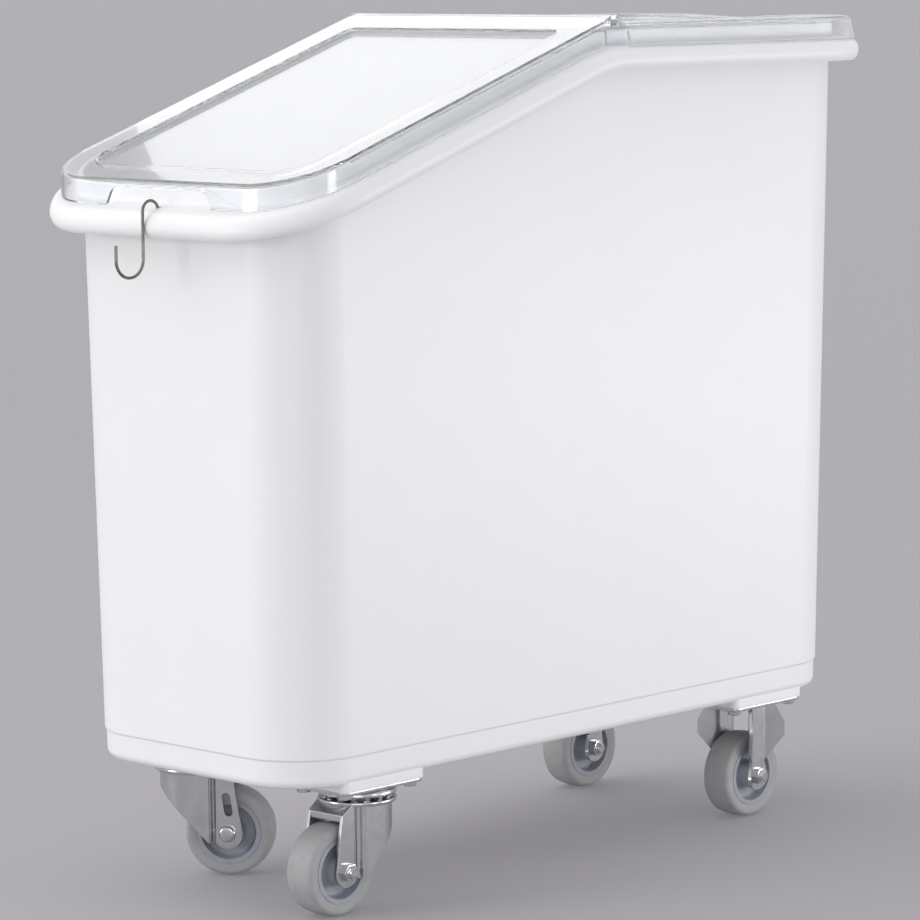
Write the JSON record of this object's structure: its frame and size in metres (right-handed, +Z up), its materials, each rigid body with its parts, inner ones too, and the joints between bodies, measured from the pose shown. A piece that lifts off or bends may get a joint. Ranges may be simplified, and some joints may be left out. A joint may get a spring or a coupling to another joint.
{
  "type": "rolling flour bin",
  "caption": "Slant-topped white ingredient bin on casters, with a hinged clear front lid, a lift-off clear rear cover and a wire hook for a scoop.",
  "frame": {"origin": "on the floor, under the middle of the whole bin with its hook", "axes": "+Z up, +Y along the length towards the high rear end, +X to the right seen from the low front end"},
  "size_m": [0.33, 0.7752, 0.7112],
  "materials": {
    "tub_white": "satin moulded white",
    "lid_clear": "clear and glossy",
    "pin_steel": "plain",
    "hook_wire": "drawn wire",
    "zinc_sheet": "bright zinc plate",
    "zinc_fastener": "bright zinc plate",
    "tread_grey": "matt grey",
    "hub_grey": "satin blue grey"
  },
  "bodies": {
    "bin": {"tub": "tub_white", "fl_plate": "zinc_sheet", "fl_king_pin": "zinc_fastener", "fl_screws": "zinc_fastener", "fr_plate": "zinc_sheet", "fr_king_pin": "zinc_fastener", "fr_screws": "zinc_fastener", "rl_fork": "zinc_sheet", "rl_axle_bolt": "zinc_fastener", "rl_axle_nut": "zinc_fastener", "rl_axle_sleeve": "zinc_fastener", "rl_screws": "zinc_fastener", "rr_fork": "zinc_sheet", "rr_axle_bolt": "zinc_fastener", "rr_axle_nut": "zinc_fastener", "rr_axle_sleeve": "zinc_fastener", "rr_screws": "zinc_fastener"},
    "fl_swivel": {"fl_fork": "zinc_sheet", "fl_axle_bolt": "zinc_fastener", "fl_axle_nut": "zinc_fastener", "fl_axle_sleeve": "zinc_fastener", "fl_balls": "zinc_fastener"},
    "fl_wheel": {"fl_hub": "hub_grey", "fl_tyre": "tread_grey"},
    "fr_swivel": {"fr_fork": "zinc_sheet", "fr_axle_bolt": "zinc_fastener", "fr_axle_nut": "zinc_fastener", "fr_axle_sleeve": "zinc_fastener", "fr_balls": "zinc_fastener"},
    "fr_wheel": {"fr_hub": "hub_grey", "fr_tyre": "tread_grey"},
    "rl_wheel": {"rl_hub": "hub_grey", "rl_tyre": "tread_grey"},
    "rr_wheel": {"rr_hub": "hub_grey", "rr_tyre": "tread_grey"},
    "rear_cover": {"rear_cover": "lid_clear", "hinge_pins": "pin_steel"},
    "front_lid": {"front_lid": "lid_clear"},
    "scoop_hook": {"scoop_hook": "hook_wire"}
  },
  "joints": [
    {"name": "fl_turn", "type": "hinge", "parent": "bin", "child": "fl_swivel", "pos_m": [-0.0965, -0.2249, 0.094], "axis": [0, 0, 1], "continuous": true},
    {"name": "fl_spin", "type": "hinge", "parent": "fl_swivel", "child": "fl_wheel", "pos_m": [-0.07197, -0.20594, 0.0375], "axis": [-0.6115, 0.7912, 0], "continuous": true},
    {"name": "fr_turn", "type": "hinge", "parent": "bin", "child": "fr_swivel", "pos_m": [0.0965, -0.2249, 0.094], "axis": [0, 0, 1], "continuous": true},
    {"name": "fr_spin", "type": "hinge", "parent": "fr_swivel", "child": "fr_wheel", "pos_m": [0.0965, -0.2559, 0.0375], "axis": [1, 0, 0], "continuous": true},
    {"name": "rl_spin", "type": "hinge", "parent": "bin", "child": "rl_wheel", "pos_m": [-0.0965, 0.2561, 0.0375], "axis": [1, 0, 0], "continuous": true},
    {"name": "rr_spin", "type": "hinge", "parent": "bin", "child": "rr_wheel", "pos_m": [0.0965, 0.2561, 0.0375], "axis": [1, 0, 0], "continuous": true},
    {"name": "rear_cover_lift", "type": "slide", "parent": "bin", "child": "rear_cover", "axis": [0, 0, 1], "range_m": [0, 0.2]},
    {"name": "front_lid_flip", "type": "hinge", "parent": "rear_cover", "child": "front_lid", "pos_m": [0, 0.0301, 0.7063], "axis": [-1, 0, 0], "range_deg": [0, 130]},
    {"name": "scoop_hook_swing", "type": "hinge", "parent": "bin", "child": "scoop_hook", "pos_m": [0, -0.3497, 0.56403], "axis": [-1, 0, 0], "range_deg": [0, 30]}
  ]
}
